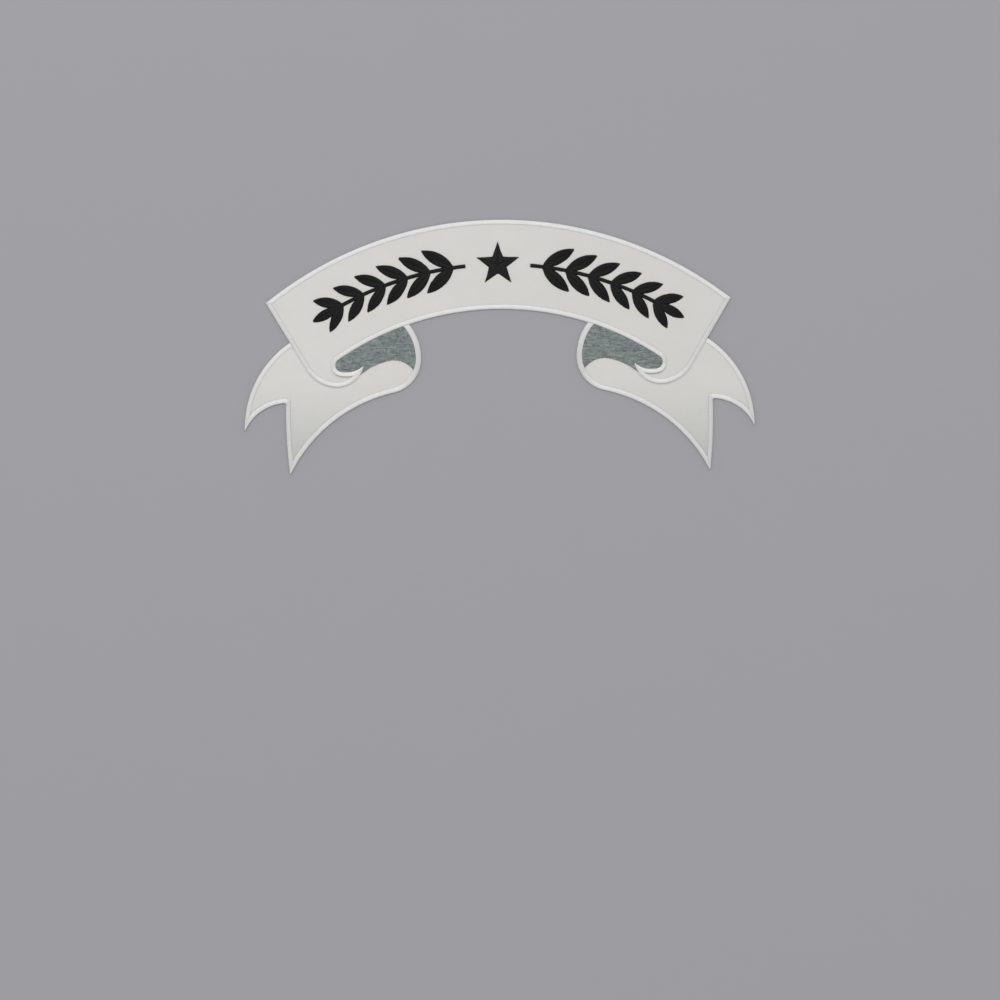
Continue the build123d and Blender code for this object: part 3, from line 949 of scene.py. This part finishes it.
class PatchClothSizes(PropertyGroup):
    """Sizes of the twill and of how the stitching gathers it."""

    grid: length_prop("Grid", "From one point of the cloth to the next", 1.3)
    twill_pitch: length_prop("Twill Pitch", "From one wale to the next, along X", 0.8)
    weave_relief: length_prop("Weave Relief", "Depth of the weave", 0.09)
    puff: length_prop("Puff", "Rise of the cloth between the seams", 0.16)
    puff_width: length_prop("Puff Width", "Distance over which the cloth rises", 6.0)
    dip: length_prop("Dip", "Depth of the cloth beside a seam", 0.02)
    dip_width: length_prop("Dip Width", "Width of the dip beside a seam", 0.9)
    # the lapped pull deepens both the dip and the painted shade below a curl or a hook
    lapped_pull: number_prop("Lapped Pull", "Pull below a curl or a hook, times that of a needle line", 21.0)
    pucker: length_prop("Pucker", "Height of the tucks beside the seams", 0.1)
    pucker_length: length_prop("Pucker Length", "From one tuck to the next", 8.0)
    pucker_reach: length_prop("Pucker Reach", "How far the tucks run in from a seam", 5.0)
    wave: length_prop("Wave", "Height of the broad waves", 0.18)
    wave_length: length_prop("Wave Length", "Length of the broad waves", 26.0)
    wave_count: IntProperty(name="Wave Count", description="Number of broad waves", default=28, min=1)
    shade_from: length_prop("Shade From", "Level along Y below which the tails' cloth greys", -18.0)
    shade_to: length_prop("Shade To", "Level along Y at which the tails' cloth is greyest", -95.0)
    seed: IntProperty(name="Seed", description="Which broad waves are drawn", default=11)


class PatchColours(PropertyGroup):
    """Colours of cloth, threads and floor."""

    twill: colour_prop("Twill", "White twill", (0.694, 0.684, 0.662))
    grey_twill: colour_prop("Grey Twill", "Twill at the tails' lower ends", (0.496, 0.505, 0.486))
    backing: colour_prop("Backing", "Back of the patch", (0.6, 0.6, 0.58))
    white_thread: colour_prop("White Thread", "Borders", (0.775, 0.775, 0.767))
    grey_thread: colour_prop("Grey Thread", "Folds", (0.24, 0.276, 0.276))
    black_thread: colour_prop("Black Thread", "Star and sprays", (0.006, 0.006, 0.0065))
    floor: colour_prop("Floor", "Floor", (0.348, 0.344, 0.366))


class PatchStageSizes(PropertyGroup):
    """Floor, camera and light."""

    floor_size: length_prop("Floor Size", "Side of the floor", 6000.0)
    frame_width: length_prop("Frame Width", "Width of the floor in view", 698.6)
    frame_x: length_prop("Frame X", "Middle of the view, across", -0.4)
    frame_y: length_prop("Frame Y", "Middle of the view, up", -107.6)
    roll: angle_prop("Roll", "Turn of the camera about its line of sight", -0.67)
    lens: number_prop("Lens", "Focal length in millimetres", 85.0)
    key_power: FloatProperty(name="Key Light", description="Its power", default=30.0, unit="POWER")
    key_size: length_prop("Key Size", "Across the key light's disk", 1300.0)
    key_place: FloatVectorProperty(
        name="Key Place", description="Middle of the key light, which faces the patch",
        default=(-0.4, 1.7, 2.8), subtype="XYZ", unit="LENGTH")
    sky: number_prop("Sky", "Strength of the even light all round", 0.765)


# Operators

class PATCH_OT_cut_twill(Operator):
    """Cut the twill to the patch's outline, gathered along the stitching"""

    bl_idname = "patch.cut_twill"
    bl_label = "Cut Twill"

    def execute(self, context):
        sizes, thickness = context.scene.patch_cloth, context.scene.patch_threads.cloth_level
        banner, tail = banner_runs(), tail_runs()
        tails = joined(tail)[::TAIL_STEP], -joined(tail)[::-TAIL_STEP].conj()
        outlines = [distinct(outline[::CUT_STEP]) for outline in (joined(banner), *tails)]
        seams = seam_lines(banner, tail, tails)
        beside = [line + off * offset * sizes.dip_width for line, off, _ in seams for offset in BESIDE_SEAM]
        beside = np.concatenate([line[::LINE_STEP] for line in beside])
        right_line, right_off, right_folded = seams[1]
        seams.insert(2, (*on_side("left", right_line, right_off), right_folded))
        stitched, off_border, folded = (np.concatenate(values)[::COARSE_STEP] for values in zip(*seams))
        even = lattice(*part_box("twill_ground"), sizes.grid)
        even = even[nearest(even, stitched)[0] > CLEAR_OF_SEAM * sizes.dip_width]
        loose = np.concatenate([even, beside, -beside[beside.real > 0].conj()])
        inside = np.any([within(loose, outline) for outline in outlines], axis=0)
        relief = cloth_relief(sizes, stitched, off_border, folded)
        mesh = cloth_mesh("twill_cloth", outlines, loose[inside], relief, thickness)
        mesh.materials.append(twill_finish(context.scene.patch_colours, sizes))
        mesh.materials.append(backing_finish(context.scene.patch_colours))
        piece = place_piece(mesh, "twill_ground")
        return {"FINISHED"}


class PATCH_OT_stitch_banner_border(Operator):
    """Lay the satin border of the banner, its curls and its hooks"""

    bl_idname = "patch.stitch_banner_border"
    bl_label = "Stitch Banner Border"

    def execute(self, context):
        threads, runs = Threads(context.scene.patch_threads, BANNER_SEED), banner_runs()
        starts, ends, meets = border_stitches(runs, [BORDER_WIDTH] * len(runs), threads.sizes)
        lay_border(threads, starts, ends, meets, np.ones(starts.size, bool))
        threads.piece("banner_border", "satin", "white_thread")
        return {"FINISHED"}


class PATCH_OT_stitch_tail_borders(Operator):
    """Lay the satin border of each loop and tail, up to the banner"""

    bl_idname = "patch.stitch_tail_borders"
    bl_label = "Stitch Tail Borders"

    def execute(self, context):
        sizes, runs = context.scene.patch_threads, tail_runs()
        starts, ends, meets = border_stitches(runs, tail_widths(runs), sizes)
        starts, ends, first = clear_of(starts, ends, grown(banner_runs(), SEAM_GAP))
        shown = first >= 0
        starts, ends, meets, rimmed = starts[shown], ends[shown], meets[shown], first[shown] == 0
        for seed, side in enumerate(SIDES, TAIL_SEED):
            threads = Threads(sizes, seed)
            lay_border(threads, *on_side(side, starts, ends), meets, rimmed)
            threads.piece(f"tail_border_{side}", "satin", "white_thread")
        return {"FINISHED"}


class PATCH_OT_stitch_fold_fills(Operator):
    """Fill each fold with level rows of thread over upright underlay"""

    bl_idname = "patch.stitch_fold_fills"
    bl_label = "Stitch Fold Fills"

    def execute(self, context):
        sizes = context.scene.patch_threads
        underlay = UNDERLAY_PITCH, UNDERLAY_STITCH, UNDERLAY_STAGGER
        rows = sizes.fill_pitch, sizes.fill_stitch, sizes.fill_stagger
        floor, top = sizes.cloth_level, sizes.fill_level
        under, over = (floor, floor + UNDERLAY_RISE, floor), (top - FILL_DIP, top, top - FILL_DIP)
        for seed, side in enumerate(SIDES, FILL_SEED):
            node = f"fold_fill_{side}"
            threads = Threads(sizes, seed)
            lay_rows(threads, node, *underlay, under, UNDERLAY_WIDTH, upright=True)
            lay_rows(threads, node, *rows, over, 1.0)
            threads.piece(node, "rows", "grey_thread")
        return {"FINISHED"}


class PATCH_OT_stitch_laurels(Operator):
    """Lay the leaves and the stem of each laurel spray"""

    bl_idname = "patch.stitch_laurels"
    bl_label = "Stitch Laurels"

    def execute(self, context):
        sizes = context.scene.patch_threads
        floor = sizes.cloth_level
        levels = floor, floor + sizes.motif_crown * STEM_CROWN, floor
        for seed, side in enumerate(SIDES, LAUREL_SEED):
            threads = Threads(sizes, seed)
            for place, heading, scale in leaf_places():
                lay_leaf(threads, *on_side(side, place, heading), scale * LEAF_LENGTH, scale * LEAF_WIDTH)
            threads.lay(*on_side(side, *stem_stitches(sizes)), levels, sizes.motif_width)
            threads.piece(f"laurel_{side}", "satin", "black_thread")
        return {"FINISHED"}


class PATCH_OT_stitch_star(Operator):
    """Lay the star, two halves of satin to each of its points"""

    bl_idname = "patch.stitch_star"
    bl_label = "Stitch Star"

    def execute(self, context):
        sizes = context.scene.patch_threads
        threads = Threads(sizes, STAR_SEED)
        centre = on_arch(MIDDLE_RADIUS, 0)
        share = np.arange(0, 1, sizes.pitch / STAR_RADIUS)
        for point in range(STAR_POINTS):
            tip = 1j * STAR_RADIUS * np.exp(2j * np.pi * point / STAR_POINTS)
            for side in (1, -1):
                waist = tip * STAR_WAIST * np.exp(1j * side * np.pi / STAR_POINTS)
                starts = centre + tip * share + 1j * side * unit(tip) * sizes.vein_gap
                ends = centre + waist + (tip - waist) * share
                long = np.abs(ends - starts) > sizes.shortest
                crown = sizes.motif_crown * (1 - (1 - NARROW_CROWN) * share[long])
                threads.lay(starts[long], ends[long], motif_levels(sizes, crown), sizes.motif_width)
        threads.piece("centre_star", "satin", "black_thread")
        return {"FINISHED"}


class PATCH_OT_set_stage(Operator):
    """Set the floor, the camera straight above and the soft light"""

    bl_idname = "patch.set_stage"
    bl_label = "Set Stage"

    def execute(self, context):
        scene, stage = context.scene, context.scene.patch_stage
        corners = stage.floor_size / 2 * np.array([[-1, -1, 0], [1, -1, 0], [1, 1, 0], [-1, 1, 0]])
        mesh = new_mesh("floor", corners, [np.array([[0, 1, 2, 3]])])
        mesh.materials.append(floor_finish(scene.patch_colours))
        in_scene("floor", mesh)
        lens = bpy.data.cameras.new("camera")
        lens.lens = stage.lens
        camera = in_scene("camera", lens)
        camera.location = stage.frame_x, stage.frame_y, stage.frame_width * stage.lens / lens.sensor_width
        camera.rotation_euler = 0, 0, stage.roll
        scene.camera = camera
        key = bpy.data.lights.new("key", "AREA")
        key.shape = "DISK"
        key.size = stage.key_size
        key.energy = stage.key_power
        lamp = in_scene("key", key)
        lamp.location = stage.key_place
        lamp.rotation_euler = (-lamp.location).to_track_quat("-Z", "Y").to_euler()
        scene.world = bpy.data.worlds.new("sky")
        scene.world.use_nodes = True
        background = scene.world.node_tree.nodes["Background"].inputs
        background["Strength"].default_value = stage.sky
        background["Color"].default_value = (1, 1, 1, 1)
        scene.view_settings.view_transform = "Standard"
        return {"FINISHED"}


class PATCH_PT_panel(Panel):
    """Lists the pieces of the patch, in the order in which they are made"""

    bl_idname = "PATCH_PT_panel"
    bl_label = "Rocker Patch"
    bl_space_type = "VIEW_3D"
    bl_region_type = "UI"
    bl_category = "Patch"

    def draw(self, context):
        for operator in OPERATORS:
            self.layout.operator(operator.bl_idname)
        for group in GROUPS:
            box = self.layout.box()
            box.label(text=group)
            settings = getattr(context.scene, group)
            for name in settings.bl_rna.properties.keys():
                if name not in ("rna_type", "name"):
                    box.prop(settings, name)


OPERATORS = (
    PATCH_OT_cut_twill,
    PATCH_OT_stitch_banner_border,
    PATCH_OT_stitch_tail_borders,
    PATCH_OT_stitch_fold_fills,
    PATCH_OT_stitch_laurels,
    PATCH_OT_stitch_star,
    PATCH_OT_set_stage,
)
GROUPS = {
    "patch_threads": PatchThreadSizes,
    "patch_cloth": PatchClothSizes,
    "patch_colours": PatchColours,
    "patch_stage": PatchStageSizes,
}


def register():
    """Registers the settings, the operators and the panel."""
    for name, group in GROUPS.items():
        bpy.utils.register_class(group)
        setattr(bpy.types.Scene, name, PointerProperty(type=group))
    for made in (*OPERATORS, PATCH_PT_panel):
        bpy.utils.register_class(made)


def unregister():
    """Takes away what register() added, the last first."""
    for made in (PATCH_PT_panel, *reversed(OPERATORS)):
        bpy.utils.unregister_class(made)
    for name, group in reversed(GROUPS.items()):
        delattr(bpy.types.Scene, name)
        bpy.utils.unregister_class(group)


def main():
    """Makes every piece and the stage."""
    register()
    for operator in OPERATORS:
        group, name = operator.bl_idname.split(".")
        getattr(getattr(bpy.ops, group), name)()


if __name__ == "__main__":
    main()
